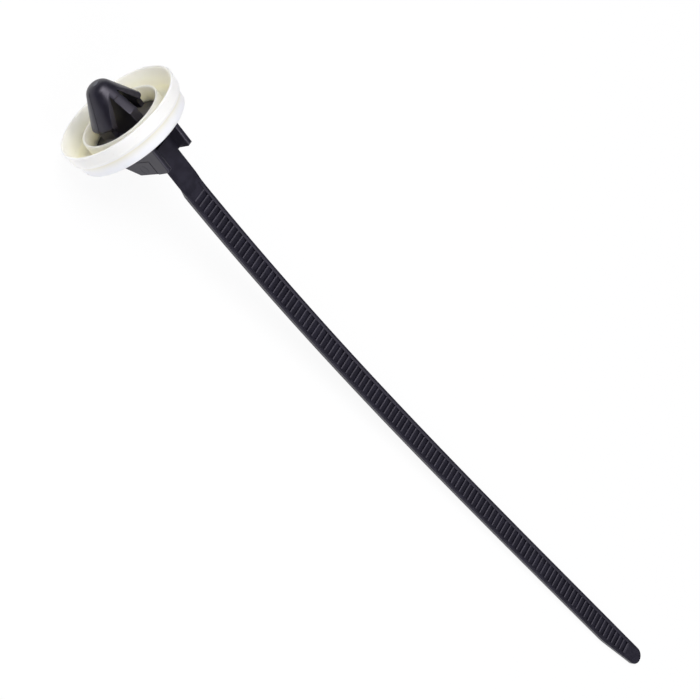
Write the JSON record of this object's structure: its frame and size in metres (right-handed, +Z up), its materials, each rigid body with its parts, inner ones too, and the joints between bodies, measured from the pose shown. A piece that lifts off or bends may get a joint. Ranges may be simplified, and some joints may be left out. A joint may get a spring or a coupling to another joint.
{
  "type": "push-mount cable tie",
  "caption": "Nylon cable tie with a toothed strap, a locking head, an arrowhead clip for a panel hole and a soft double-lip sealing cup.",
  "frame": {"origin": "middle of the tie's length and width, on the surface it lies on", "axes": "+X along the tie from the arrowhead to the tip of the strap, +Y across the strap, +Z up, away from the surface"},
  "size_m": [0.174, 0.0246, 0.0242],
  "materials": {
    "black_nylon": "satin, as moulded",
    "milky_elastomer": "milky, slightly translucent, smooth"
  },
  "bodies": {
    "root": {"tie": "black_nylon", "seal": "milky_elastomer"}
  },
  "joints": []
}
